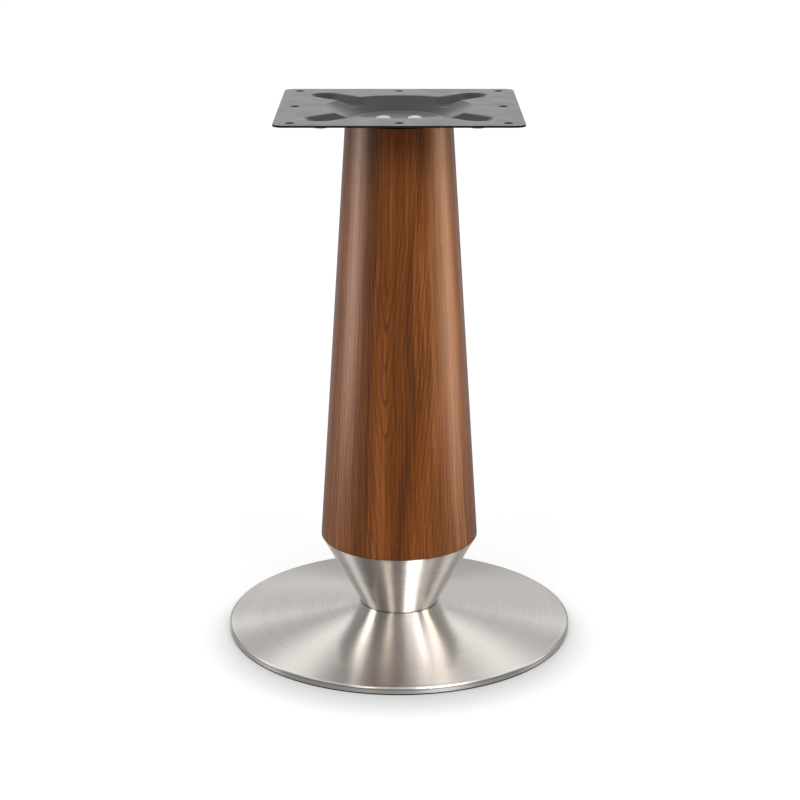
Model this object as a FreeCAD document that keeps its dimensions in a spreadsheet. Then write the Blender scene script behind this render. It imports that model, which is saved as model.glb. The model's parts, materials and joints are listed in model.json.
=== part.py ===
"""Pedestal table base: a pressed square top plate on a tapered walnut column,
standing through a spun steel collar on a round, shallow-coned steel base.

Millimetres, +Z up, origin on the floor at the middle of the base.
The plate's sides lie along X and Y.
"""

import FreeCAD, Part
import Sketcher
import math
import os

Vector = FreeCAD.Vector
Z_AXIS = Vector(0, 0, 1)
CORNERS = ((-1, -1), (1, -1), (1, 1), (-1, 1))
NEAR = 0.01
SCREW_COUNT = 2
FIXING_COUNT = 4
CHANNEL_COUNT = 4

# Driving dimensions, each with the piece that it belongs to

SIZES = [
    ("overall_height", 720.0, "floor to the face that carries the table top"),
    # Top plate
    ("plate_side", 310.0, "side of the square plate"),
    ("plate_sheet", 2.5, "thickness of the pressed sheet"),
    ("plate_corner", 14.0, "radius of the plate's four corners"),
    ("fixing_hole", 8.0, "diameter of the eight table-top fixing holes"),
    ("fixing_inset", 21.0, "plate edge to the middle of a fixing hole"),
    ("dish_radius", 96.0, "rim of the pressed dish"),
    ("pad_radius", 61.0, "flat pad at the bottom of the dish"),
    ("dish_depth", 15.5, "plate face down to the pad"),
    ("arm_reach", 138.0, "plate centre to the middle of a channel's round end"),
    ("arm_half_width", 20.0, "half width of a channel at the plate face"),
    ("arm_depth", 9.0, "depth of a channel"),
    ("arm_draft", 50.0, "lean of a channel's walls from upright, degrees"),
    ("press_bend", 4.0, "inside radius of the pressed bends"),
    ("crease_bend", 5.0, "inside radius where a channel's wall turns into the dish"),
    # Plate screws
    ("screw_spacing", 41.0, "between the two plate screws"),
    ("screw_hole", 9.0, "diameter of the holes in the pad"),
    ("screw_thread", 8.0, "diameter of the screw's thread"),
    ("screw_length", 10.0, "length under the head"),
    ("screw_head", 19.0, "diameter of the truss head"),
    ("screw_head_height", 3.6, "height of the truss head"),
    ("screw_head_edge", 0.8, "upright edge of the truss head"),
    ("cross_span", 9.0, "end to end of the cross recess"),
    ("cross_width", 2.0, "width of the recess's slots"),
    ("cross_depth", 2.0, "depth of the cross recess"),
    # Steel core
    ("flange_radius", 50.0, "round flange under the plate"),
    ("flange_sheet", 8.0, "thickness of the flange"),
    ("tube_radius", 24.15, "outside radius of the core tube"),
    ("tube_wall", 3.0, "wall of the core tube"),
    ("plug_length", 34.0, "length of the tapped plug in the tube's foot"),
    ("plug_shoulder", 4.0, "height of the plug's shoulder"),
    ("thread_gap", 0.1, "clearance around a thread"),
    ("fit_gap", 0.3, "clearance between pieces that slip together"),
    # Column
    ("column_top_radius", 70.0, "column at the top plate"),
    ("wood_overhang", 1.3, "column's lower edge beyond the collar's mouth"),
    ("edge_round", 1.0, "rounding of the column's lower edge"),
    ("column_wall", 18.0, "wall of the hollow column"),
    ("column_head", 30.0, "solid head at the column's top"),
    ("column_foot", 20.0, "solid foot above the joint"),
    ("spigot_depth", 12.0, "length of the turned spigot in the collar"),
    ("joint_reveal", 0.8, "shadow gap between the collar and the wood"),
    # Collar
    ("collar_top_radius", 105.5, "outside of the collar's mouth"),
    ("collar_top_height", 133.2, "floor to the collar's mouth"),
    ("collar_foot_radius", 52.9, "foot of the collar"),
    ("collar_foot_height", 35.7, "floor to the collar's foot"),
    ("collar_sheet", 2.0, "thickness of the collar's sheet"),
    ("support_sheet", 4.0, "thickness of the disc that carries the column"),
    # Base
    ("base_radius", 235.0, "outside of the base"),
    ("rim_height", 10.0, "floor to the rim's upper edge"),
    ("rim_bend", 2.0, "outside radius of the rim's upper edge"),
    ("cover_sheet", 1.5, "thickness of the spun cover"),
    ("cover_margin", 1.5, "flat of the cover that shows around the collar"),
    ("ring_height", 2.0, "height of the floor ring's tread"),
    ("ring_setback", 0.8, "tread's edge inside the cover's rim"),
    ("ring_width", 20.0, "width of the tread"),
    ("lip_height", 4.0, "floor ring's upstand inside the rim"),
    ("lip_thickness", 1.5, "thickness of the upstand"),
    ("weight_wall", 9.0, "wall of the cast weight under its cone"),
    ("weight_lift", 1.5, "cast weight's belly above its foot"),
    ("hub_radius", 45.0, "hub under the cast weight"),
    ("hub_thickness", 13.0, "thickness of the hub"),
    # Centre bolt
    ("bolt_thread", 16.0, "diameter of the centre bolt's thread"),
    ("bolt_hole", 17.0, "diameter of the holes that the bolt passes"),
    ("bolt_length", 48.0, "length under the head"),
    ("bolt_flats", 24.0, "across the flats of the bolt's head"),
    ("bolt_head", 10.0, "height of the bolt's head"),
    ("washer_radius", 22.0, "outside radius of the flat washer"),
    ("washer_sheet", 3.0, "thickness of the flat washer"),
    ("spring_radius", 13.7, "outside radius of the spring washer"),
    ("spring_sheet", 4.0, "thickness of the spring washer"),
    ("spring_split", 12.0, "split of the spring washer, degrees"),
]

doc = FreeCAD.newDocument("pedestal_table_base")
sheet = doc.addObject("Spreadsheet::Sheet", "sheet")
for row, (alias, number, note) in enumerate(SIZES, start=1):
    sheet.set(f"A{row}", alias)
    sheet.set(f"B{row}", str(number))
    sheet.set(f"C{row}", note)
    sheet.setAlias(f"B{row}", alias)
doc.recompute()

# Levels and lines that several pieces share, as expressions on the sheet

PLATE_TOP = "sheet.overall_height"
PLATE_UNDER = "(sheet.overall_height - sheet.plate_sheet)"
PAD_TOP = "(sheet.overall_height - sheet.dish_depth)"
COLUMN_TOP = "(sheet.overall_height - sheet.dish_depth - sheet.plate_sheet)"
FLANGE_UNDER = f"({COLUMN_TOP} - sheet.flange_sheet)"
JOINT = "(sheet.collar_top_height + sheet.joint_reveal)"
WOOD_EDGE = "(sheet.collar_top_radius + sheet.wood_overhang)"
COLUMN_SEAT = f"({JOINT} - sheet.spigot_depth)"
COLLAR_FLOOR = "(sheet.collar_foot_height + sheet.collar_sheet)"
PLUG_SEAT = f"({COLLAR_FLOOR} + sheet.plug_shoulder)"
HUB_TOP = "(sheet.collar_foot_height - sheet.cover_sheet)"
HUB_UNDER = f"({HUB_TOP} - sheet.hub_thickness)"
SCREW_STAND = "(sheet.screw_spacing / 2)"
BOLT_PASS = "(sheet.bolt_hole / 2)"
TUBE_PASS = "(sheet.tube_radius + sheet.fit_gap)"

# Taper of the column's outside, in radius lost per millimetre of height
COLUMN_TAPER = (
    f"(({WOOD_EDGE} - sheet.column_top_radius)"
    f" / ({COLUMN_TOP} - {JOINT}))"
)
# Lean of the collar's side from upright, and the sheet measured level across it
COLLAR_LEAN = (
    "((sheet.collar_top_radius - sheet.collar_foot_radius)"
    " / (sheet.collar_top_height - sheet.collar_foot_height))"
)
COLLAR_ACROSS = f"(sheet.collar_sheet * sqrt(1 + {COLLAR_LEAN} ^ 2))"
# Slope of the cover's cone, and the sheet measured upright through it
COVER_SHOULDER = "(sheet.collar_foot_radius + sheet.cover_margin)"
COVER_SLOPE = (
    "((sheet.collar_foot_height - sheet.rim_height)"
    f" / (sheet.base_radius - {COVER_SHOULDER}))"
)
COVER_UPRIGHT = f"(sheet.cover_sheet * sqrt(1 + {COVER_SLOPE} ^ 2))"
# Floor ring and what it holds, from the rim inwards
LIP_OUT = "(sheet.base_radius - sheet.cover_sheet - sheet.fit_gap)"
LIP_IN = f"({LIP_OUT} - sheet.lip_thickness)"
RING_OUT = "(sheet.base_radius - sheet.ring_setback)"
RING_IN = f"({RING_OUT} - sheet.ring_width)"
WEIGHT_OUT = f"({LIP_IN} - sheet.fit_gap)"


def size(alias):
    """A driving dimension from the sheet."""
    return float(sheet.get(alias))


def value(expression):
    """What an expression on the sheet comes to now."""
    return float(sheet.evalExpression(expression.replace("sheet.", "")))


def column_side(height):
    """Expression for the column's outside radius at a height."""
    return f"({WOOD_EDGE} - {COLUMN_TAPER} * ({height} - {JOINT}))"


def collar_inside(height):
    """Expression for the collar's inside radius at a height."""
    drop = f"(sheet.collar_top_height - {height})"
    return f"(sheet.collar_top_radius - {COLLAR_ACROSS} - {COLLAR_LEAN} * {drop})"


def cover_top(radius):
    """Expression for the height of the cover's outer cone at a radius."""
    return f"(sheet.rim_height + {COVER_SLOPE} * (sheet.base_radius - {radius}))"


def cover_radius(height):
    """Expression for the radius where the cover's outer cone has a height."""
    return f"(sheet.base_radius - ({height} - sheet.rim_height) / {COVER_SLOPE})"


# Sketches and features


def new_body(name):
    body = doc.addObject("PartDesign::Body", name)
    body.Label = name
    return body


def new_sketch(body, name, role, level=None, turn=0.0):
    """A sketch on one of the body's origin planes, raised to a level and turned about its normal."""
    sketch = body.newObject("Sketcher::SketchObject", name)
    plane = next(f for f in body.Origin.OriginFeatures if f.Role == role)
    sketch.AttachmentSupport = [(plane, "")]
    sketch.MapMode = "FlatFace"
    sketch.AttachmentOffset = FreeCAD.Placement(Vector(), FreeCAD.Rotation(Z_AXIS, turn))
    if level is not None:
        sketch.setExpression("AttachmentOffset.Base.z", level)
    return sketch


def bind(sketch, constraint, name, expression):
    """Adds a dimension to a sketch and ties it to the sheet."""
    index = sketch.addConstraint(constraint)
    sketch.renameConstraint(index, name)
    sketch.setExpression(f"Constraints.{name}", expression)


def place_point(sketch, geometry, point, name, x, y):
    """Ties a point of a sketch to an x and a y, each an expression or 0 for the axis."""
    for kind, axis, coordinate in (("DistanceX", -2, x), ("DistanceY", -1, y)):
        if coordinate == 0:
            sketch.addConstraint(Sketcher.Constraint("PointOnObject", geometry, point, axis))
        else:
            distance = Sketcher.Constraint(kind, -1, 1, geometry, point, value(coordinate))
            bind(sketch, distance, f"{name}_{kind[-1].lower()}", coordinate)


def outline(sketch, corners):
    """A closed outline of straight sides, its corners given as pairs of expressions."""
    places = [Vector(*(0.0 if c == 0 else value(c) for c in corner), 0) for corner in corners]
    count = len(corners)
    for i in range(count):
        sketch.addGeometry(Part.LineSegment(places[i], places[(i + 1) % count]))
    for i in range(count):
        sketch.addConstraint(Sketcher.Constraint("Coincident", i, 2, (i + 1) % count, 1))
    for i, (x, y) in enumerate(corners):
        place_point(sketch, i, 1, f"corner{i}", x, y)


def circle(sketch, name, x, y, radius):
    """A circle with its middle at an x and a y."""
    middle = Vector(*(0.0 if c == 0 else value(c) for c in (x, y)), 0)
    index = sketch.addGeometry(Part.Circle(middle, Z_AXIS, value(radius)))
    place_point(sketch, index, 3, name, x, y)
    bind(sketch, Sketcher.Constraint("Radius", index, value(radius)), f"{name}_r", radius)


def revolve(body, kind, name, sketch):
    """A full Revolution or Groove of a sketch about its upright axis."""
    feature = body.newObject(kind, name)
    feature.Profile = sketch
    feature.ReferenceAxis = (sketch, ["V_Axis"])
    feature.Angle = 360.0
    doc.recompute()
    return feature


def centred_rectangle(sketch, width, depth):
    """A rectangle about the sketch's origin, its sides given as expressions."""
    sides = {"width": width, "depth": depth}
    half_width, half_depth = (value(side) / 2 for side in sides.values())
    corners = [Vector(x * half_width, y * half_depth, 0) for x, y in CORNERS]
    for i in range(4):
        sketch.addGeometry(Part.LineSegment(corners[i], corners[(i + 1) % 4]))
    for i in range(4):
        sketch.addConstraint(Sketcher.Constraint("Coincident", i, 2, (i + 1) % 4, 1))
        sketch.addConstraint(Sketcher.Constraint("Vertical" if i % 2 else "Horizontal", i))
    sketch.addConstraint(Sketcher.Constraint("Symmetric", 0, 1, 2, 1, -1, 1))
    for i, (name, side) in enumerate(sides.items()):
        bind(sketch, Sketcher.Constraint("Distance", i, value(side)), name, side)


def turned(name, corners):
    """A body turned about +Z from corners given as (radius, height) expressions."""
    body = new_body(name)
    sketch = new_sketch(body, f"{name}_section", "XZ_Plane")
    outline(sketch, corners)
    revolve(body, "PartDesign::Revolution", f"{name}_turning", sketch)
    return body


def extrude(body, kind, name, sketch, length, draft=None):
    """A Pad or Pocket of a sketch, downwards, its walls leaning in by a draft."""
    feature = body.newObject(kind, name)
    feature.Profile = sketch
    feature.setExpression("Length", length)
    feature.Reversed = kind == "PartDesign::Pad"
    if draft:
        feature.setExpression("TaperAngle", f"-{draft}")
    doc.recompute()
    return feature


def repeat_round(body, name, features, count):
    """Repeats features evenly about +Z."""
    pattern = body.newObject("PartDesign::PolarPattern", name)
    pattern.Originals = features
    pattern.Axis = (features[0].Profile[0], ["N_Axis"])
    pattern.Angle = 360.0
    pattern.Occurrences = count
    body.Tip = pattern
    doc.recompute()
    return pattern


def round_edges(body, name, radius, chosen):
    """Rounds those edges of a body that a test chooses."""
    tip = body.Tip
    edges = [f"Edge{i}" for i, edge in enumerate(tip.Shape.Edges, start=1) if chosen(edge)]
    feature = body.newObject("PartDesign::Fillet", name)
    feature.Base = (tip, edges)
    feature.setExpression("Radius", radius)
    doc.recompute()
    return feature


def from_axis(point):
    """Distance of a point from +Z."""
    return math.hypot(point.x, point.y)


def lies_at(edge, height):
    """Whether an edge lies wholly at a height."""
    box = edge.BoundBox
    return max(abs(box.ZMin - height), abs(box.ZMax - height)) < NEAR


def is_ring(edge, radius, height):
    """Whether an edge is a circle of that radius about +Z at that height."""
    return lies_at(edge, height) and all(
        abs(from_axis(vertex.Point) - radius) < NEAR for vertex in edge.Vertexes
    )


# Base


def make_floor_ring():
    """Rubber tread under the rim, with an upstand that centres the cover on the weight."""
    lip_top = "(sheet.ring_height + sheet.lip_height)"
    return turned("floor_ring", [
        (RING_IN, 0),
        (RING_OUT, 0),
        (RING_OUT, "sheet.ring_height"),
        (LIP_OUT, "sheet.ring_height"),
        (LIP_OUT, lip_top),
        (LIP_IN, lip_top),
        (LIP_IN, "sheet.ring_height"),
        (RING_IN, "sheet.ring_height"),
    ])


def make_base_weight():
    """Cast iron weight that follows the cover's cone, hollow below, with a hub for the bolt."""
    under_cover = f"({COVER_UPRIGHT} + sheet.fit_gap)"
    cone_start = cover_radius(f"({HUB_TOP} + {under_cover})")
    belly = "(sheet.ring_height + sheet.weight_lift)"
    belly_radius = cover_radius(f"({belly} + sheet.weight_wall + {under_cover})")
    return turned("base_weight", [
        (BOLT_PASS, HUB_UNDER),
        ("sheet.hub_radius", HUB_UNDER),
        ("sheet.hub_radius", f"({cover_top('sheet.hub_radius')} - {under_cover} - sheet.weight_wall)"),
        (belly_radius, belly),
        (RING_IN, belly),
        (RING_IN, "sheet.ring_height"),
        (WEIGHT_OUT, "sheet.ring_height"),
        (WEIGHT_OUT, f"({cover_top(WEIGHT_OUT)} - {under_cover})"),
        (cone_start, HUB_TOP),
        (BOLT_PASS, HUB_TOP),
    ])


def make_base_cover():
    """Spun sheet: a flat under the collar, a shallow cone and an upright rim."""
    skirt_in = "(sheet.base_radius - sheet.cover_sheet)"
    shoulder_under = cover_radius(f"({HUB_TOP} + {COVER_UPRIGHT})")
    body = turned("base_cover", [
        (BOLT_PASS, HUB_TOP),
        (shoulder_under, HUB_TOP),
        (skirt_in, f"({cover_top(skirt_in)} - {COVER_UPRIGHT})"),
        (skirt_in, "sheet.ring_height"),
        ("sheet.base_radius", "sheet.ring_height"),
        ("sheet.base_radius", "sheet.rim_height"),
        (COVER_SHOULDER, "sheet.collar_foot_height"),
        (BOLT_PASS, "sheet.collar_foot_height"),
    ])
    rim = (size("base_radius"), size("rim_height"))
    round_edges(body, "rim_rounding", "sheet.rim_bend", lambda edge: is_ring(edge, *rim))
    return body


# Collar


def make_collar():
    """Spun sheet cone with a flat floor, standing on the cover."""
    return turned("collar", [
        (BOLT_PASS, "sheet.collar_foot_height"),
        ("sheet.collar_foot_radius", "sheet.collar_foot_height"),
        ("sheet.collar_top_radius", "sheet.collar_top_height"),
        (collar_inside("sheet.collar_top_height"), "sheet.collar_top_height"),
        (collar_inside(COLLAR_FLOOR), COLLAR_FLOOR),
        (BOLT_PASS, COLLAR_FLOOR),
    ])


def make_support_disc():
    """Steel disc in the collar's mouth, centred on the tube, that carries the column."""
    under = f"({COLUMN_SEAT} - sheet.support_sheet)"
    return turned("support_disc", [
        (TUBE_PASS, under),
        (f"({collar_inside(under)} - sheet.fit_gap)", under),
        (f"({collar_inside(COLUMN_SEAT)} - sheet.fit_gap)", COLUMN_SEAT),
        (TUBE_PASS, COLUMN_SEAT),
    ])


# Column and its steel core


def make_column():
    """Turned, veneered column: a hollow taper with a solid head, foot and spigot."""
    spigot = f"({collar_inside(COLUMN_SEAT)} - sheet.fit_gap)"
    flange_pocket = "(sheet.flange_radius + sheet.fit_gap)"
    cavity_top = f"({COLUMN_TOP} - sheet.column_head)"
    cavity_floor = f"({JOINT} + sheet.column_foot)"
    body = turned("column", [
        (TUBE_PASS, COLUMN_SEAT),
        (spigot, COLUMN_SEAT),
        (spigot, JOINT),
        (WOOD_EDGE, JOINT),
        ("sheet.column_top_radius", COLUMN_TOP),
        (flange_pocket, COLUMN_TOP),
        (flange_pocket, FLANGE_UNDER),
        (TUBE_PASS, FLANGE_UNDER),
        (TUBE_PASS, cavity_top),
        (f"({column_side(cavity_top)} - sheet.column_wall)", cavity_top),
        (f"({column_side(cavity_floor)} - sheet.column_wall)", cavity_floor),
        (TUBE_PASS, cavity_floor),
    ])
    lower_edge = (value(WOOD_EDGE), value(JOINT))
    round_edges(body, "edge_rounding", "sheet.edge_round", lambda edge: is_ring(edge, *lower_edge))
    return body


def make_core_tube():
    """Steel tube from the plug's shoulder to the top flange."""
    inside = "(sheet.tube_radius - sheet.tube_wall)"
    return turned("core_tube", [
        (inside, PLUG_SEAT),
        ("sheet.tube_radius", PLUG_SEAT),
        ("sheet.tube_radius", FLANGE_UNDER),
        (inside, FLANGE_UNDER),
    ])


def make_tube_plug():
    """Tapped plug welded into the tube's foot, which the centre bolt pulls down."""
    tapping = "(sheet.bolt_thread / 2 + sheet.thread_gap)"
    neck = "(sheet.tube_radius - sheet.tube_wall - sheet.thread_gap)"
    top = f"({COLLAR_FLOOR} + sheet.plug_length)"
    return turned("tube_plug", [
        (tapping, COLLAR_FLOOR),
        ("sheet.tube_radius", COLLAR_FLOOR),
        ("sheet.tube_radius", PLUG_SEAT),
        (neck, PLUG_SEAT),
        (neck, top),
        (tapping, top),
    ])


def make_top_flange():
    """Round flange on the tube's top, let into the column, tapped for the plate screws."""
    body = new_body("top_flange")
    disc = new_sketch(body, "flange_disc", "XY_Plane", COLUMN_TOP)
    circle(disc, "disc", 0, 0, "sheet.flange_radius")
    extrude(body, "PartDesign::Pad", "flange_pad", disc, "sheet.flange_sheet")
    tapping = new_sketch(body, "flange_tapping", "XY_Plane", COLUMN_TOP)
    circle(tapping, "hole", SCREW_STAND, 0, "(sheet.screw_thread / 2 + sheet.thread_gap)")
    hole = extrude(body, "PartDesign::Pocket", "flange_hole", tapping, "sheet.flange_sheet")
    repeat_round(body, "flange_holes", [hole], SCREW_COUNT)
    return body


# Top plate


def channel_slot(body, name, level, half_width):
    """One channel's outline on the diagonal: straight from the axis, with a round end."""
    sketch = new_sketch(body, name, "XY_Plane", level, turn=45.0)
    half = value(half_width)
    reach = size("arm_reach")
    sketch.addGeometry(Part.LineSegment(Vector(0, -half, 0), Vector(reach, -half, 0)))
    end = Part.Circle(Vector(reach, 0, 0), Z_AXIS, half)
    sketch.addGeometry(Part.ArcOfCircle(end, -math.pi / 2, math.pi / 2))
    sketch.addGeometry(Part.LineSegment(Vector(reach, half, 0), Vector(0, half, 0)))
    sketch.addGeometry(Part.LineSegment(Vector(0, half, 0), Vector(0, -half, 0)))
    for first, second in ((0, 1), (1, 2)):
        sketch.addConstraint(Sketcher.Constraint("Tangent", first, 2, second, 1))
    for first, second in ((2, 3), (3, 0)):
        sketch.addConstraint(Sketcher.Constraint("Coincident", first, 2, second, 1))
    for point in (1, 2):
        sketch.addConstraint(Sketcher.Constraint("PointOnObject", 3, point, -2))
    for side in (0, 2):
        sketch.addConstraint(Sketcher.Constraint("Horizontal", side))
    place_point(sketch, 1, 3, "end", "sheet.arm_reach", 0)
    bind(sketch, Sketcher.Constraint("Radius", 1, half), "half_width", half_width)
    return sketch


def plate_holes(body, name, x, y, radius, level, count):
    """A round hole through the sheet, repeated about the plate's middle."""
    sketch = new_sketch(body, f"{name}_place", "XY_Plane", level)
    circle(sketch, "hole", x, y, radius)
    hole = extrude(body, "PartDesign::Pocket", name, sketch, "sheet.plate_sheet")
    repeat_round(body, f"{name}s", [hole], count)


def press(body, side, level, feature_kinds, grow_dish, grow_channel):
    """One side of the pressing, starting at a level of the flat sheet: its dish, then its channels.

    The dish and the channels are grown outwards by an allowance each.
    """
    turned_kind, straight_kind = feature_kinds
    floor = f"({level} - sheet.dish_depth)"
    dish = new_sketch(body, f"dish_{side}", "XZ_Plane")
    outline(dish, [
        (0, floor),
        (f"(sheet.pad_radius + {grow_dish})", floor),
        (f"(sheet.dish_radius + {grow_dish})", level),
        (0, level),
    ])
    revolve(body, turned_kind, f"dish_form_{side}", dish)
    slot = channel_slot(body, f"channel_{side}", level, f"(sheet.arm_half_width + {grow_channel})")
    channel = extrude(
        body, straight_kind, f"channel_form_{side}", slot, "sheet.arm_depth", "sheet.arm_draft"
    )
    repeat_round(body, f"channels_{side}", [channel], CHANNEL_COUNT)


def round_press(body, side, level, grow_dish, convex, concave):
    """Rounds one side of the pressing: its creases, its rim, its pad's edge and its channels' floors.

    Convex and concave are the added radii of the bends that stand out and in, seen from above.
    """
    face = value(level)
    channel_floor = face - size("arm_depth")
    rim_radius = value(f"sheet.dish_radius + {grow_dish}")
    half = size("plate_side") / 2

    def is_crease(edge):
        box = edge.BoundBox
        upright = abs(box.ZMin - channel_floor) < NEAR and abs(box.ZMax - face) < NEAR
        return upright and any(abs(from_axis(v.Point) - rim_radius) < NEAR for v in edge.Vertexes)

    def is_rim(edge):
        box = edge.BoundBox
        reach = max(box.XMax, -box.XMin, box.YMax, -box.YMin)
        return lies_at(edge, face) and reach < half - NEAR

    pad = face - size("dish_depth")
    round_edges(body, f"creases_{side}", f"sheet.crease_bend + {convex}", is_crease)
    round_edges(body, f"rim_{side}", f"sheet.press_bend + {convex}", is_rim)
    round_edges(body, f"pad_{side}", f"sheet.press_bend + {concave}", lambda edge: lies_at(edge, pad))
    round_edges(
        body, f"floors_{side}", f"sheet.press_bend + {concave}", lambda edge: lies_at(edge, channel_floor)
    )


def make_top_plate():
    """Pressed square plate: a dish with a flat pad, and a channel towards each corner."""
    body = new_body("top_plate")
    square = new_sketch(body, "plate_outline", "XY_Plane", PLATE_TOP)
    centred_rectangle(square, "sheet.plate_side", "sheet.plate_side")
    extrude(body, "PartDesign::Pad", "plate_flat", square, "sheet.plate_sheet")
    round_edges(body, "plate_corners", "sheet.plate_corner", lambda edge: edge.BoundBox.ZLength > NEAR)
    # A pressed wall keeps the sheet's thickness, so its underside stands out at each bend
    # by the sheet times the tangent of half the wall's slope.
    dish_slope = "atan(sheet.dish_depth / (sheet.dish_radius - sheet.pad_radius))"
    dish_out = f"(sheet.plate_sheet * tan({dish_slope} / 2))"
    channel_out = "(sheet.plate_sheet * tan((90 - sheet.arm_draft) / 2))"
    adding = ("PartDesign::Revolution", "PartDesign::Pad")
    cutting = ("PartDesign::Groove", "PartDesign::Pocket")
    press(body, "underside", PLATE_UNDER, adding, dish_out, channel_out)
    press(body, "inside", PLATE_TOP, cutting, "0", "0")
    round_press(body, "inside", PLATE_TOP, "0", convex="sheet.plate_sheet", concave="0")
    round_press(body, "underside", PLATE_UNDER, dish_out, convex="0", concave="sheet.plate_sheet")

    inset = "(sheet.plate_side / 2 - sheet.fixing_inset)"
    fixing = "(sheet.fixing_hole / 2)"
    plate_holes(body, "corner_hole", inset, inset, fixing, PLATE_TOP, FIXING_COUNT)
    plate_holes(body, "side_hole", inset, 0, fixing, PLATE_TOP, FIXING_COUNT)
    plate_holes(body, "screw_hole", SCREW_STAND, 0, "(sheet.screw_hole / 2)", PAD_TOP, SCREW_COUNT)
    return body


# Fasteners


def make_one_screw():
    """A truss-head screw with a cross recess, standing on the pad's middle."""
    body = new_body("plate_screw")
    section = new_sketch(body, "screw_section", "XZ_Plane")
    head = size("screw_head") / 2
    thread = size("screw_thread") / 2
    seat = value(PAD_TOP)
    edge = seat + size("screw_head_edge")
    crown = seat + size("screw_head_height")
    tip = seat - size("screw_length")
    points = [(0, tip), (thread, tip), (thread, seat), (head, seat), (head, edge)]
    points = [Vector(x, z, 0) for x, z in points]
    for first, second in zip(points, points[1:]):
        section.addGeometry(Part.LineSegment(first, second))
    # The crown is an arc about a point on the axis, from the head's edge to its top.
    rise = crown - edge
    dome = (head ** 2 + rise ** 2) / (2 * rise)
    middle = Vector(0, crown - dome, 0)
    start = math.atan2(edge - middle.y, head)
    section.addGeometry(Part.ArcOfCircle(Part.Circle(middle, Z_AXIS, dome), start, math.pi / 2))
    section.addGeometry(Part.LineSegment(Vector(0, crown, 0), points[0]))
    for first, second in ((0, 1), (1, 2), (2, 3), (3, 4), (4, 5), (5, 0)):
        section.addConstraint(Sketcher.Constraint("Coincident", first, 2, second, 1))
    under_head = f"({PAD_TOP} - sheet.screw_length)"
    place_point(section, 0, 1, "tip", 0, under_head)
    place_point(section, 1, 1, "thread", "(sheet.screw_thread / 2)", under_head)
    place_point(section, 2, 1, "neck", "(sheet.screw_thread / 2)", PAD_TOP)
    place_point(section, 3, 1, "seat", "(sheet.screw_head / 2)", PAD_TOP)
    place_point(section, 4, 1, "edge", "(sheet.screw_head / 2)", f"({PAD_TOP} + sheet.screw_head_edge)")
    place_point(section, 5, 1, "crown", 0, f"({PAD_TOP} + sheet.screw_head_height)")
    section.addConstraint(Sketcher.Constraint("PointOnObject", 4, 3, -2))
    doc.recompute()
    revolve(body, "PartDesign::Revolution", "screw_turning", section)
    crown_level = f"({PAD_TOP} + sheet.screw_head_height)"
    for i, turn in enumerate((45.0, 135.0)):
        slot = new_sketch(body, f"cross_slot{i}", "XY_Plane", crown_level, turn)
        centred_rectangle(slot, "sheet.cross_span", "sheet.cross_width")
        extrude(body, "PartDesign::Pocket", f"cross_cut{i}", slot, "sheet.cross_depth")
    return body


def make_top_screws():
    """The plate screws as one group."""
    screw = make_one_screw()
    stand = Vector(value(SCREW_STAND), 0, 0)
    group = doc.addObject("Part::Feature", "top_screws")
    group.Label = "top_screws"
    group.Shape = Part.makeCompound([
        screw.Shape.translated(FreeCAD.Rotation(Z_AXIS, i * 360.0 / SCREW_COUNT).multVec(stand))
        for i in range(SCREW_COUNT)
    ])
    return group


def washer(name, outside, under, thickness):
    """A flat ring around the centre bolt, at a height."""
    top = f"({under} + {thickness})"
    return turned(name, [(BOLT_PASS, under), (outside, under), (outside, top), (BOLT_PASS, top)])


WASHER_UNDER = f"({HUB_UNDER} - sheet.washer_sheet)"
SPRING_UNDER = f"({WASHER_UNDER} - sheet.spring_sheet)"
BOLT_UNDER = f"({SPRING_UNDER} - sheet.bolt_head)"


def make_flat_washer():
    """Wide washer against the weight's hub."""
    return washer("flat_washer", "sheet.washer_radius", WASHER_UNDER, "sheet.washer_sheet")


def make_spring_washer():
    """Split ring under the bolt's head."""
    body = washer("spring_washer", "sheet.spring_radius", SPRING_UNDER, "sheet.spring_sheet")
    body.Tip.setExpression("Angle", "360 - sheet.spring_split")
    doc.recompute()
    return body


def make_centre_bolt():
    """Hexagon-head bolt from under the weight into the tube's plug."""
    head = doc.addObject("Part::Prism", "bolt_hexagon")
    head.Polygon = 6
    head.setExpression("Circumradius", "sheet.bolt_flats / sqrt(3)")
    head.setExpression("Height", "sheet.bolt_head")
    head.setExpression("Placement.Base.z", BOLT_UNDER)
    shank = doc.addObject("Part::Cylinder", "bolt_shank")
    shank.setExpression("Radius", "sheet.bolt_thread / 2")
    shank.setExpression("Height", "sheet.bolt_length + sheet.bolt_head")
    shank.setExpression("Placement.Base.z", BOLT_UNDER)
    bolt = doc.addObject("Part::MultiFuse", "centre_bolt")
    bolt.Shapes = [head, shank]
    bolt.Label = "centre_bolt"
    doc.recompute()
    return bolt


def main():
    pieces = [
        make_floor_ring(),
        make_base_weight(),
        make_base_cover(),
        make_collar(),
        make_support_disc(),
        make_column(),
        make_core_tube(),
        make_tube_plug(),
        make_top_flange(),
        make_top_plate(),
        make_top_screws(),
        make_flat_washer(),
        make_spring_washer(),
        make_centre_bolt(),
    ]
    doc.recompute()
    failed = [o.Name for o in doc.Objects if {"Invalid", "Error"} & set(o.State)]
    if failed:
        raise RuntimeError(f"these objects did not build: {failed}")
    for piece in pieces:
        if piece.Shape.isNull() or not piece.Shape.isValid():
            raise RuntimeError(f"{piece.Label} has no valid shape")
    os.makedirs("parts", exist_ok=True)
    for piece in pieces:
        piece.Shape.exportStep(os.path.join("parts", f"{piece.Label}.step"))
        print(f"{piece.Label}: {len(piece.Shape.Solids)} solid, {piece.Shape.Volume / 1000:.1f} cm3")


main()
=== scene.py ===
"""Finishes, studio light and camera for the pedestal table base.

Lengths are in metres and angles in degrees. Azimuths are measured around the column from the front (-Y),
positive towards the right (+X). Where nothing else is said, two numbers are the ends of a range, and four
are the ends of a range and the values at them.
"""
import json
import math

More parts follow.
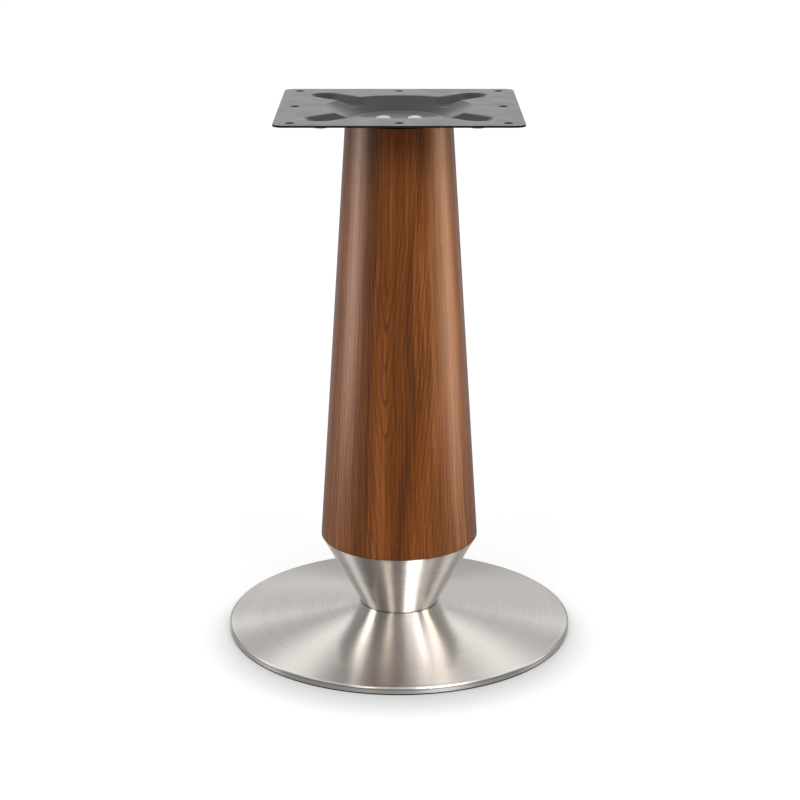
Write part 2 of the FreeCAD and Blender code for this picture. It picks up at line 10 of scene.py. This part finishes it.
import bpy
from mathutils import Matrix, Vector


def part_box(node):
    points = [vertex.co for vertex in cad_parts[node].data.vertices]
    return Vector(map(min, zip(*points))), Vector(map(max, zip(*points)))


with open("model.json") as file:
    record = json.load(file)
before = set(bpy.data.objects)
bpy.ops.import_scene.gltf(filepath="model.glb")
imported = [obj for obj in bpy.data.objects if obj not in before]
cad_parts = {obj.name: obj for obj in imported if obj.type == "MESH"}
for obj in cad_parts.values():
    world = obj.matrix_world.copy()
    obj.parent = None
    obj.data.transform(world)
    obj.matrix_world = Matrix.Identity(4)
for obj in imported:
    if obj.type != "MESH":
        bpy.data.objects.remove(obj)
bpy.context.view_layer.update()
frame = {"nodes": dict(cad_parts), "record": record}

# Camera at the photograph's viewing angle, for a square image
CAMERA_PLACE = (0.0011, -2.5487, 1.1119)
CAMERA_DOWN = 17.18
CAMERA_SENSOR = 36.0
IMAGE_SIDE = 800
FOCAL_PIXELS = 1980.1

# Noise lies around its middle, nearly all of it in its span.
NOISE_MIDDLE = 0.5
NOISE_SPAN = (0.3, 0.7)

WHITE = (1.0, 1.0, 1.0)
ORIGIN = (0.0, 0.0, 0.0)

# Walnut veneer: one leaf laid around the column, with the axis of its figure a little left of the front.
# Growth rings show as nested V shapes that point down, with their lowest tips between two heights.
VENEER_RADIUS = 0.090
FIGURE_AXIS = -0.016
FIGURE_HALF = 0.130
FIGURE_CORE = (0.004, 0.014)
FIGURE_TIPS = (0.30, 0.47)
FADE_BELOW_TIPS = 0.06
FADE_ABOVE_TIPS = 0.08
RING_PITCH = 0.045
RING_STEEP = 7.7
RING_ROUND = 0.004
RING_RAGGED = 3.0
RING_LATE = (0.62, 0.93)
RING_PATCHES = (0.34, 0.62)

# Broad bands up the leaf. They bend by a share of their lean, sway with the grain and break up in streaks.
BANDS = (
    # azimuth at the foot, lean over the height, half width, depth (above 0 is dark, below 0 is light)
    (-29.0, 0.0, 9.0, 0.42),
    (-58.0, 0.0, 22.0, -0.55),
    (1.0, 16.0, 6.0, 0.95),
    (21.0, 16.0, 16.0, -0.95),
    (52.0, 0.0, 18.0, -1.05),
    (104.0, 5.0, 6.0, 0.80),
    (152.0, -4.0, 9.0, 0.70),
    (-72.0, 4.0, 6.0, 0.50),
    (-125.0, -5.0, 7.0, 0.85),
)
BEND_SHARE = 0.19
BEND_FROM = 0.21
BEND_LENGTH = 0.6
BAND_BREAKS = (0.25, 0.60, 1.25, 0.55)

# Layers of noise, drawn out along the grain. Wander and waver move the grain, in metres, and the bands, in
# radians. Hairs and strands are thin lines, the strands only at the sides, where the grain is livelier.
GRAIN_LAYERS = {
    # cells per metre across the grain and along it, seed, detail
    "wander": (9.0, 4.0, 3.1, 2.0),
    "waver": (45.0, 9.0, 6.3, 2.0),
    "ragged": (9.0, 2.0, 8.0, 2.0),
    "patchy": (26.0, 3.0, 1.7, 2.0),
    "broad": (40.0, 1.3, 5.0, 2.0),
    "streaks": (300.0, 2.4, 2.0, 3.0),
    "hairs": (300.0, 1.6, 4.4, 1.0),
    "strands": (120.0, 1.2, 9.2, 2.0),
    "fibres": (700.0, 11.0, 0.0, 3.0),
    "pores": (1100.0, 45.0, 7.0, 1.0),
}
WANDER_GRAIN = 0.012
WAVER_GRAIN = 0.004
WANDER_BANDS = 0.22
WAVER_BANDS = 0.10
HAIR_HALF = 0.04
STRAND_HALF = 0.05
STRAND_AZIMUTHS = (25.0, 50.0)
PORE_SPAN = (0.60, 0.72)
LIVELY_AZIMUTHS = (30.0, 55.0)
LIVELY = (1.0, 1.5)

# Tone of the wood, how much each layer varies or darkens it, and the colours from dark to light
WOOD_TONE = 0.53
STREAK_VARIES = 0.48
FIBRE_VARIES = 0.56
BROAD_VARIES = 0.50
RING_DARKENS = 0.23
BAND_DARKENS = 0.20
HAIR_DARKENS = 0.13
STRAND_DARKENS = 0.22
PORE_DARKENS = 0.13
WOOD_COLOURS = (
    (0.10, (0.056, 0.020, 0.008)),
    (0.34, (0.120, 0.036, 0.010)),
    (0.52, (0.200, 0.057, 0.010)),
    (0.74, (0.300, 0.107, 0.035)),
    (0.95, (0.370, 0.148, 0.052)),
)
LACQUER_SPECULAR = 0.10
LACQUER_ROUGHNESS = (0.35, 0.45)
FIBRE_HEIGHT = 0.6
PORE_HEIGHT = -0.8
WOOD_RELIEF = 0.00003

# Brushed steel: rings of noise, in cells around the axis and cells per metre along the profile
BRUSH_FINE = (2.5, 1500.0)
BRUSH_COARSE = (1.4, 330.0)
BRUSH_SHARE = 0.5
BRUSH_DETAIL = 2.0
BRUSH_FALL = 2.0
BRUSH_RELIEF = 0.0000025
STEEL_DARK = (0.530, 0.510, 0.491)
STEEL_LIGHT = (0.660, 0.635, 0.611)
STEEL_ROUGHNESS = (0.33, 0.36)
STEEL_STRETCH = 0.9
STEEL_STRETCH_TURN = 0.25

# Dark seam around the collar's foot, and the heights over that foot between which it fades
SEAM_RADIUS = 0.0537
SEAM_HALF = 0.0013
SEAM_FADE = (0.0005, 0.0015)
SEAM_COLOUR = (0.05, 0.045, 0.04)

# Upper rim edge: painted highlight in front, painted dark reflection at its sides and in the crease under it
RIM_RADII = (0.2325, 0.2330)
EDGE_HEIGHTS = (0.0088, 0.0096)
EDGE_FRONT = (-0.75, -0.30)
PAINTED_EDGE_HIGHLIGHT = (0.86, 0.84, 0.82)
PAINTED_EDGE_DARK_REFLECTION = (0.20, 0.19, 0.18)
EDGE_LESS_METALLIC = 0.45
CREASE_HEIGHT = 0.0073
CREASE_HALF = 0.0008
CREASE_DEPTH = 0.9
PAINTED_CREASE_REFLECTION = (0.16, 0.15, 0.14)

# Black coat of the top plate, with rounded cut edges
COAT_DARK = (0.040, 0.040, 0.043)
COAT_LIGHT = (0.052, 0.052, 0.056)
COAT_CLOUDS = 35.0
COAT_CLOUD_DETAIL = 3.0
COAT_ROUGHNESS = (0.30, 0.37)
COAT_SPECULAR = 0.95
COAT_EDGE = 0.0012
COAT_EDGE_SAMPLES = 8
PEEL_SCALE = 900.0
PEEL_DETAIL = 2.0
PEEL_RELIEF = 0.00005
LEVEL_FADE = 0.001

# Painted highlight: a light ring around the plate's pad, at least this far below the top
PAD_BELOW = 0.012
PAD_RING_RADIUS = 0.0570
PAD_RING_HALF = 0.0030
PAD_HIGHLIGHT_PATCHES = (0.25, 0.6, 0.6, 1.0)
PAINTED_PAD_HIGHLIGHT = (0.20, 0.20, 0.205)

# Fixing holes of the plate, in rows one pitch from its middle. Painted shade, near black and rough, lies on
# the coat around them, at most this far below the top, and on upright faces, which are the cut edges of the
# sheet.
HOLE_PITCH = 0.134
HOLE_EDGE = (0.0050, 0.0066)
HOLE_BELOW = 0.004
CUT_FACING = (0.05, 0.25)
PAINTED_SHADE_COLOUR = (0.004, 0.004, 0.004)
SHADE_ROUGHNESS = 1.0

# Detail of the clouds in the colour of plain finishes
PLAIN_CLOUD_DETAIL = 4.0

# White floor, which shines for the camera, and behind the part for what mirrors it. It is shaded around the
# foot.
FLOOR_HALF = 30.0
FLOOR_DROP = 0.0001
FLOOR_DARK = (0.45, 0.45, 0.45)
FLOOR_LIGHT = (0.47, 0.47, 0.47)
FLOOR_CLOUDS = 0.6
FLOOR_CLOUD_DETAIL = 2.0
FLOOR_ROUGHNESS = 0.9
FLOOR_BEHIND = (-0.5, 1.5)
FLOOR_LIFT = (0.3, 2.0, 0.58, 0.63)
FLOOR_SHADE_CENTRE = (0.0, -0.040, 0.0)
FLOOR_SHADE = (0.200, 0.285, 0.47, 1.0)

# White backdrop and even light. What metal and lacquer mirror of the room is bright behind the part and dim
# in front of it and overhead.
BACKDROP = 1.0
ROOM_LIGHT = 0.88
ROOM_BEHIND = (0.90, 0.895, 0.89)
ROOM_FRONT = (0.20, 0.175, 0.15)
ROOM_FRONT_TO_BEHIND = (-0.2, 0.6)
ROOM_OVERHEAD = (0.22, 0.70, 1.0, 0.32)

# Square key lamps in front, which only give light
KEY_PLACES = {"key_left": (-1.1, -2.0, 2.0), "key_right": (1.1, -2.0, 2.0)}
KEY_AIM = (0.0, 0.0, 0.40)
KEY_SIDE = 1.0
KEY_RADIANCE = 4.6

# Upright panels around the part, which only show as highlights on the nodes they are meant for
WOOD, FOOT, CONE, PLATE = ("column",), ("base_cover",), ("collar",), ("top_plate",)
STEEL = FOOT + CONE
NEUTRAL, WARM = (1.0, 0.97, 0.95), (1.0, 0.90, 0.80)
ROSE, AMBER = (1.0, 0.93, 0.88), (1.0, 0.81, 0.58)
PANELS = (
    # name, azimuth, distance, width, lower edge, upper edge, radiance, colour, nodes
    ("wood_left", -88.0, 1.60, 0.54, 0.00, 0.75, 33.0, ROSE, WOOD),
    ("wood_right", 91.0, 1.00, 0.36, 0.00, 0.75, 27.0, AMBER, WOOD),
    ("side_left", -86.0, 1.60, 0.50, 0.00, 0.50, 4.0, NEUTRAL, FOOT),
    ("side_right", 92.0, 1.60, 0.50, 0.00, 0.50, 3.0, NEUTRAL, FOOT),
    ("back_left", -165.5, 5.00, 0.60, 3.60, 4.90, 8.5, NEUTRAL, STEEL),
    ("back_right", 165.5, 5.00, 0.60, 3.60, 4.90, 6.8, NEUTRAL, STEEL),
    ("wedge_left", -147.0, 2.00, 0.30, 0.30, 0.80, 4.0, NEUTRAL, FOOT),
    ("wedge_right", 147.0, 2.00, 0.30, 0.30, 0.80, 3.0, NEUTRAL, FOOT),
    ("foot_strip", -24.0, 2.20, 0.10, 1.20, 3.60, 30.0, WARM, FOOT),
    ("foot_front", 31.0, 2.20, 0.95, 1.20, 3.60, 27.0, NEUTRAL, FOOT),
    ("cone_left", -78.0, 1.60, 0.30, 0.00, 0.50, 44.0, NEUTRAL, CONE),
    ("cone_right", 78.0, 1.60, 0.30, 0.00, 0.50, 40.0, WARM, CONE),
    ("cone_strip", -23.0, 1.60, 0.12, 0.00, 0.50, 32.0, WARM, CONE),
    ("cone_front", 46.0, 1.60, 0.25, 0.00, 0.50, 34.0, NEUTRAL, CONE),
    ("plate_back", 180.0, 3.00, 4.00, 0.75, 1.60, 0.25, NEUTRAL, PLATE),
)


def rgba(colour):
    return (*colour, 1.0)


class Graph:
    """Builds shader nodes. Most calls add the nodes of one step and return their output."""

    def __init__(self, tree):
        self.tree = tree

    def node(self, kind, inputs=None, **settings):
        made = self.tree.nodes.new("ShaderNode" + kind)
        for name, value in settings.items():
            setattr(made, name, value)
        self.feed(made.inputs, inputs or {})
        return made

    def feed(self, sockets, values):
        """Links or sets each of the sockets that are given by name or number."""
        for key, value in values.items():
            if isinstance(value, bpy.types.NodeSocket):
                self.tree.links.new(value, sockets[key])
            else:
                sockets[key].default_value = value

    def math(self, operation, a, b=0.0):
        return self.node("Math", {0: a, 1: b}, operation=operation).outputs[0]

    def add(self, a, b):
        return self.math("ADD", a, b)

    def subtract(self, a, b):
        return self.math("SUBTRACT", a, b)

    def times(self, a, b):
        return self.math("MULTIPLY", a, b)

    def larger(self, a, b):
        return self.math("MAXIMUM", a, b)

    def size(self, a):
        """The value without its sign."""
        return self.math("ABSOLUTE", a)

    def radius(self, x, y):
        """How far the point is from the axis."""
        return self.math("SQRT", self.add(self.times(x, x), self.times(y, y)))

    def distance(self, a, b):
        return self.node("VectorMath", {0: a, 1: b}, operation="DISTANCE").outputs["Value"]

    def vector(self, x, y, z):
        return self.node("CombineXYZ", {0: x, 1: y, 2: z}).outputs[0]

    def split(self, vector):
        return self.node("SeparateXYZ", {0: vector}).outputs

    def place(self):
        """The point in the part's own frame."""
        return self.node("TexCoord").outputs["Object"]

    def noise(self, vector, scale, detail):
        return self.node("TexNoise", {"Vector": vector, "Scale": scale, "Detail": detail}).outputs[0]

    def remap(self, value, low, high, to_low=0.0, to_high=1.0, kind="SMOOTHSTEP"):
        inputs = {0: value, 1: low, 2: high, 3: to_low, 4: to_high}
        return self.node("MapRange", inputs, interpolation_type=kind).outputs[0]

    def fade(self, value, low, high):
        """1 up to the low value, 0 from the high one on."""
        return self.remap(value, low, high, 1.0, 0.0)

    def ridge(self, value, middle, half, top=1.0):
        """The top where the value is at the middle, 0 where it is half a width or more away."""
        return self.remap(self.size(self.subtract(value, middle)), 0.0, half, top, 0.0)

    def spread(self, noise, low, high):
        """From the low value to the high one over the span of the noise."""
        return self.remap(noise, *NOISE_SPAN, low, high, "LINEAR")

    def tint(self, noise, dark, light):
        """From the dark colour to the light one over the span of the noise."""
        return self.ramp(noise, tuple(zip(NOISE_SPAN, (dark, light))))

    def ramp(self, value, stops):
        made = self.node("ValToRGB", {0: value})
        elements = made.color_ramp.elements
        while len(elements) < len(stops):
            elements.new(1.0)
        for element, (place, colour) in zip(elements, stops):
            element.position = place
            element.color = rgba(colour)
        return made.outputs[0]

    def choose(self, factor, a, b):
        """The number a where the factor is 0, b where it is 1."""
        return self.node("Mix", {0: factor, 2: a, 3: b}, data_type="FLOAT").outputs[0]

    def mix(self, factor, a, b):
        """The colour a where the factor is 0, b where it is 1."""
        return self.node("Mix", {0: factor, 6: a, 7: b}, data_type="RGBA").outputs[2]

    def bump(self, height, distance, **inputs):
        return self.node("Bump", {"Height": height, "Distance": distance, **inputs}).outputs[0]


def new_material(name, values):
    """A material with one Principled shader, whose constant values are given by socket name."""
    material = bpy.data.materials.new(name)
    material.use_nodes = True
    graph = Graph(material.node_tree)
    sockets = material.node_tree.nodes["Principled BSDF"].inputs
    graph.feed(sockets, values)
    return material, graph, sockets


def growth_rings(graph, grain, z, ragged, patchy):
    """Growth rings cut at a slant: dark lines that end sharply, in V shapes with steep flanks."""
    reach = graph.math("PINGPONG", graph.subtract(grain, FIGURE_AXIS), FIGURE_HALF)
    flank = graph.math("SQRT", graph.add(graph.times(reach, reach), RING_ROUND ** 2))
    rise = graph.subtract(z, graph.times(flank, RING_STEEP))
    rings = graph.add(graph.times(rise, 1.0 / RING_PITCH), graph.times(ragged, RING_RAGGED))
    phase = graph.math("FRACT", rings)
    begin, end = RING_LATE
    late = graph.times(graph.remap(phase, begin, end), graph.fade(phase, end, 1.0))
    lowest, highest = FIGURE_TIPS
    tips = graph.times(graph.remap(z, lowest - FADE_BELOW_TIPS, lowest),
                       graph.fade(z, highest, highest + FADE_ABOVE_TIPS))
    shown = graph.larger(graph.remap(reach, *FIGURE_CORE), tips)
    return graph.times(graph.times(late, shown), graph.remap(patchy, *RING_PATCHES))


def heartwood(graph, turn, share, streaks):
    """Dark and light bands up the leaf; share is how far up the column a point is, from 0 to 1."""
    bend = graph.math("SINE", graph.times(graph.subtract(share, BEND_FROM), math.tau / BEND_LENGTH))
    bands = 0.0
    for azimuth, lean, half, depth in BANDS:
        lean = math.radians(lean)
        path = graph.add(graph.times(share, lean), graph.times(bend, lean * BEND_SHARE))
        centre = graph.add(path, math.radians(azimuth))
        bands = graph.add(graph.ridge(turn, centre, math.radians(half), depth), bands)
    return graph.times(bands, graph.remap(streaks, *BAND_BREAKS))


def walnut():
    """Satin lacquered walnut veneer with upright grain, a cathedral figure and dark heartwood bands."""
    material, graph, sockets = new_material("walnut", {"Specular IOR Level": LACQUER_SPECULAR})
    x, y, z = graph.split(graph.place())
    turn = graph.math("ARCTAN2", x, graph.times(y, -1.0))
    across = graph.times(turn, VENEER_RADIUS)
    low, high = (corner.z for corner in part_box("column"))
    share = graph.times(graph.subtract(z, low), 1.0 / (high - low))

    def along(layer, source):
        """Noise drawn out along the grain."""
        cells_across, cells_up, seed, detail = GRAIN_LAYERS[layer]
        place = graph.vector(graph.times(source, cells_across), graph.times(z, cells_up), seed)
        return graph.noise(place, 1.0, detail)

    def from_front(azimuths, *values):
        """From one value to the other between two azimuths, on either side of the front."""
        return graph.remap(graph.size(turn), *map(math.radians, azimuths), *values)

    wander = graph.subtract(along("wander", across), NOISE_MIDDLE)
    waver = graph.subtract(along("waver", across), NOISE_MIDDLE)
    drift = graph.add(graph.times(wander, WANDER_GRAIN), graph.times(waver, WAVER_GRAIN))
    sway = graph.add(graph.times(wander, WANDER_BANDS), graph.times(waver, WAVER_BANDS))
    grain = graph.add(across, drift)

    broad = along("broad", grain)
    streaks = along("streaks", grain)
    fibres = along("fibres", grain)
    pores = graph.remap(along("pores", grain), *PORE_SPAN)
    hairs = graph.ridge(along("hairs", grain), NOISE_MIDDLE, HAIR_HALF)
    strands = graph.ridge(along("strands", grain), NOISE_MIDDLE, STRAND_HALF)
    strands = graph.times(strands, from_front(STRAND_AZIMUTHS))
    rings = growth_rings(graph, grain, z, along("ragged", across), along("patchy", across))
    bands = heartwood(graph, graph.add(turn, sway), share, streaks)

    lively = from_front(LIVELY_AZIMUTHS, *LIVELY)
    varying = (
        (streaks, graph.times(lively, STREAK_VARIES)),
        (fibres, graph.times(lively, FIBRE_VARIES)),
        (broad, BROAD_VARIES),
    )
    darkening = (
        (rings, RING_DARKENS),
        (bands, BAND_DARKENS),
        (hairs, HAIR_DARKENS),
        (strands, STRAND_DARKENS),
        (pores, PORE_DARKENS),
    )
    tone = WOOD_TONE
    for layer, amount in varying:
        tone = graph.add(graph.times(graph.subtract(layer, NOISE_MIDDLE), amount), tone)
    for layer, amount in darkening:
        tone = graph.subtract(tone, graph.times(layer, amount))
    relief = graph.add(graph.times(fibres, FIBRE_HEIGHT), graph.times(pores, PORE_HEIGHT))
    graph.feed(sockets, {
        "Base Color": graph.ramp(tone, WOOD_COLOURS),
        "Roughness": graph.spread(fibres, *LACQUER_ROUGHNESS),
        "Normal": graph.bump(relief, WOOD_RELIEF),
    })
    return material


def brushed_stainless():
    """Stainless steel brushed in circles, so that lamps draw out into radial streaks."""
    material, graph, sockets = new_material("brushed_stainless", {
        "Anisotropic": STEEL_STRETCH,
        "Anisotropic Rotation": STEEL_STRETCH_TURN,
    })
    x, y, z = graph.split(graph.place())
    radius = graph.radius(x, y)
    cosine = graph.math("DIVIDE", x, radius)
    sine = graph.math("DIVIDE", y, radius)
    # Runs out along the profile at a like pace on the foot, its rim and the collar.
    path = graph.subtract(radius, graph.times(z, BRUSH_FALL))

    def brush(arcs, lines):
        place = graph.vector(graph.times(cosine, arcs), graph.times(sine, arcs), graph.times(path, lines))
        return graph.times(graph.noise(place, 1.0, BRUSH_DETAIL), BRUSH_SHARE)

    brushed = graph.add(brush(*BRUSH_FINE), brush(*BRUSH_COARSE))
    colour = graph.tint(brushed, STEEL_DARK, STEEL_LIGHT)

    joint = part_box("collar")[0].z
    low, high = SEAM_FADE
    seam = graph.times(graph.ridge(radius, SEAM_RADIUS, SEAM_HALF), graph.fade(z, joint + low, joint + high))
    colour = graph.mix(seam, colour, rgba(SEAM_COLOUR))

    # Painted dark reflection line in the crease under the rim's upper edge
    rim = graph.remap(radius, *RIM_RADII)
    painted_crease_reflection = graph.times(rim, graph.ridge(z, CREASE_HEIGHT, CREASE_HALF))
    colour = graph.mix(graph.times(painted_crease_reflection, CREASE_DEPTH), colour, rgba(PAINTED_CREASE_REFLECTION))
    # Painted highlight on the rim's upper edge in front, and painted dark reflection on it at the sides
    edge = graph.times(rim, graph.remap(z, *EDGE_HEIGHTS))
    painted_edge_reflection = graph.mix(graph.fade(sine, *EDGE_FRONT), rgba(PAINTED_EDGE_DARK_REFLECTION), rgba(PAINTED_EDGE_HIGHLIGHT))
    graph.feed(sockets, {
        "Base Color": graph.mix(edge, colour, painted_edge_reflection),
        "Metallic": graph.subtract(1.0, graph.times(edge, EDGE_LESS_METALLIC)),
        "Roughness": graph.spread(brushed, *STEEL_ROUGHNESS),
        "Tangent": graph.node("Tangent", direction_type="RADIAL", axis="Z").outputs[0],
        "Normal": graph.bump(brushed, BRUSH_RELIEF),
    })
    return material


def black_coat():
    """Satin black powder coat with its fine orange peel, and painted shade, dark and dull, at cut edges and
    holes.
    """
    material, graph, sockets = new_material("black_coat", {"Specular IOR Level": COAT_SPECULAR})
    place = graph.place()
    x, y, z = graph.split(place)
    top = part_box("top_plate")[1].z

    def to_row(value):
        """Distance from the nearest of the rows that the holes are in."""
        out = graph.size(value)
        return graph.math("MINIMUM", out, graph.size(graph.subtract(out, HOLE_PITCH)))

    # Painted shade: near black, rough coat in the holes and on the cut edges
    hole = graph.fade(graph.radius(to_row(x), to_row(y)), *HOLE_EDGE)
    hole = graph.times(hole, graph.remap(z, top - HOLE_BELOW - LEVEL_FADE, top - HOLE_BELOW))
    facing = graph.split(graph.node("NewGeometry").outputs["True Normal"])["Z"]
    painted_shade = graph.larger(hole, graph.fade(graph.size(facing), *CUT_FACING))

    cloud = graph.noise(place, COAT_CLOUDS, COAT_CLOUD_DETAIL)
    # Painted highlight: a light ring around the pad, broken up by the clouds
    ring = graph.ridge(graph.radius(x, y), PAD_RING_RADIUS, PAD_RING_HALF)
    ring = graph.times(ring, graph.remap(cloud, *PAD_HIGHLIGHT_PATCHES))
    ring = graph.times(ring, graph.fade(z, top - PAD_BELOW - LEVEL_FADE, top - PAD_BELOW))
    colour = graph.mix(ring, graph.tint(cloud, COAT_DARK, COAT_LIGHT), rgba(PAINTED_PAD_HIGHLIGHT))
    peel = graph.noise(place, PEEL_SCALE, PEEL_DETAIL)
    edges = graph.node("Bevel", {"Radius": COAT_EDGE}, samples=COAT_EDGE_SAMPLES).outputs[0]
    graph.feed(sockets, {
        "Base Color": graph.mix(painted_shade, colour, rgba(PAINTED_SHADE_COLOUR)),
        "Roughness": graph.choose(painted_shade, graph.spread(cloud, *COAT_ROUGHNESS), SHADE_ROUGHNESS),
        "Normal": graph.bump(peel, PEEL_RELIEF, Normal=edges),
    })
    return material


def plain_finish(name, values, dark, light, clouds, roughness, grains, grain_detail, relief):
    """A finish with cloudy colour, uneven gloss and a fine grain; clouds and grains are cells per metre."""
    material, graph, sockets = new_material(name, values)
    place = graph.place()
    grain = graph.noise(place, grains, grain_detail)
    graph.feed(sockets, {
        "Base Color": graph.tint(graph.noise(place, clouds, PLAIN_CLOUD_DETAIL), dark, light),
        "Roughness": graph.spread(grain, *roughness),
        "Normal": graph.bump(grain, relief),
    })
    return material


def bright_zinc():
    return plain_finish(
        "bright_zinc", {"Metallic": 0.4}, dark=(0.80, 0.80, 0.81), light=(0.90, 0.90, 0.91), clouds=60.0,
        roughness=(0.38, 0.50), grains=1200.0, grain_detail=2.0, relief=0.00001)


def plain_steel():
    return plain_finish(
        "plain_steel", {"Metallic": 1.0}, dark=(0.34, 0.34, 0.35), light=(0.48, 0.48, 0.49), clouds=60.0,
        roughness=(0.34, 0.50), grains=700.0, grain_detail=2.0, relief=0.00003)


def cast_iron():
    return plain_finish(
        "cast_iron", {"Specular IOR Level": 0.35}, dark=(0.075, 0.075, 0.080), light=(0.120, 0.118, 0.118),
        clouds=45.0, roughness=(0.60, 0.80), grains=420.0, grain_detail=4.0, relief=0.0003)


def rubber():
    return plain_finish(
        "rubber", {"Specular IOR Level": 0.35}, dark=(0.016, 0.016, 0.017), light=(0.026, 0.026, 0.027),
        clouds=45.0, roughness=(0.62, 0.78), grains=1500.0, grain_detail=4.0, relief=0.00004)


def dress_nodes():
    """Gives every node the finish that the record names for it."""
    finishes = {
        finish.__name__: finish()
        for finish in (walnut, brushed_stainless, black_coat, bright_zinc, plain_steel, cast_iron, rubber)
    }
    for part in frame["record"]["subparts"]:
        materials = frame["nodes"][part["node"]].data.materials
        materials.clear()
        materials.append(finishes[part["material_slot"]])


def make_floor():
    mesh = bpy.data.meshes.new("floor")
    corners = [
        (side * FLOOR_HALF, depth * FLOOR_HALF, -FLOOR_DROP)
        for side, depth in ((-1, -1), (1, -1), (1, 1), (-1, 1))
    ]
    mesh.from_pydata(corners, [], [(0, 1, 2, 3)])
    floor = bpy.data.objects.new("floor", mesh)
    bpy.context.scene.collection.objects.link(floor)

    material, graph, sockets = new_material("floor", {
        "Roughness": FLOOR_ROUGHNESS,
        "Specular IOR Level": 0.0,
        "Emission Color": rgba(WHITE),
    })
    place = graph.place()
    cloud = graph.noise(place, FLOOR_CLOUDS, FLOOR_CLOUD_DETAIL)
    path = graph.node("LightPath").outputs
    behind = graph.remap(graph.split(place)["Y"], *FLOOR_BEHIND)
    mirrored = graph.times(graph.larger(path["Is Glossy Ray"], path["Is Transmission Ray"]), behind)
    seen = graph.larger(path["Is Camera Ray"], mirrored)
    lift = graph.remap(graph.distance(place, ORIGIN), *FLOOR_LIFT)
    shade = graph.remap(graph.distance(place, FLOOR_SHADE_CENTRE), *FLOOR_SHADE)
    graph.feed(sockets, {
        "Base Color": graph.tint(cloud, FLOOR_DARK, FLOOR_LIGHT),
        "Emission Strength": graph.times(graph.times(seen, lift), shade),
    })
    mesh.materials.append(material)


def make_world():
    """White where the camera looks past the floor, even light, and a room that is brightest behind."""
    world = bpy.data.worlds.new("studio")
    bpy.context.scene.world = world
    world.use_nodes = True
    graph = Graph(world.node_tree)
    path = graph.node("LightPath").outputs
    way = graph.split(graph.node("TexCoord").outputs["Generated"])
    room = graph.mix(graph.remap(way["Y"], *ROOM_FRONT_TO_BEHIND), rgba(ROOM_FRONT), rgba(ROOM_BEHIND))
    overhead = graph.remap(way["Z"], *ROOM_OVERHEAD)
    strength = graph.choose(path["Is Glossy Ray"], ROOM_LIGHT, overhead)
    graph.feed(world.node_tree.nodes["Background"].inputs, {
        "Color": graph.mix(path["Is Glossy Ray"], rgba(WHITE), room),
        "Strength": graph.choose(path["Is Camera Ray"], strength, BACKDROP),
    })


def softbox(name, place, aim, width, length, radiance, mirrored, colour=WHITE, nodes=()):
    """A rectangular lamp, upright or nearly so, whose face has the given radiance.

    A mirrored lamp only shows as a highlight, on the given nodes or on all; any other only gives light.
    """
    data = bpy.data.lights.new(name, "AREA")
    data.shape = "RECTANGLE"
    data.size = width
    data.size_y = length
    data.energy = radiance * math.pi * width * length
    data.color = colour
    lamp = bpy.data.objects.new(name, data)
    lamp.location = place
    lamp.rotation_euler = (Vector(aim) - Vector(place)).to_track_quat("-Z", "Y").to_euler()
    lamp.visible_camera = False
    lamp.visible_glossy = mirrored
    lamp.visible_diffuse = not mirrored
    if nodes:
        receivers = bpy.data.collections.new(name)
        for node in nodes:
            receivers.objects.link(frame["nodes"][node])
        lamp.light_linking.receiver_collection = receivers
    bpy.context.scene.collection.objects.link(lamp)


def light_studio():
    for name, place in KEY_PLACES.items():
        softbox(name, place, KEY_AIM, KEY_SIDE, KEY_SIDE, KEY_RADIANCE, mirrored=False)
    for name, azimuth, distance, width, low, high, radiance, colour, nodes in PANELS:
        turn = math.radians(azimuth)
        level = (low + high) / 2.0
        place = (distance * math.sin(turn), -distance * math.cos(turn), level)
        softbox(name, place, (0.0, 0.0, level), width, high - low, radiance, True, colour, nodes)


def place_camera():
    data = bpy.data.cameras.new("camera")
    data.sensor_width = CAMERA_SENSOR
    data.lens = CAMERA_SENSOR * FOCAL_PIXELS / IMAGE_SIDE
    camera = bpy.data.objects.new("camera", data)
    camera.location = CAMERA_PLACE
    camera.rotation_euler = (math.radians(90.0 - CAMERA_DOWN), 0.0, 0.0)
    bpy.context.scene.collection.objects.link(camera)
    bpy.context.scene.camera = camera


dress_nodes()
make_floor()
make_world()
light_studio()
place_camera()
bpy.context.scene.view_settings.view_transform = "Standard"
bpy.context.scene.cycles.caustics_reflective = False
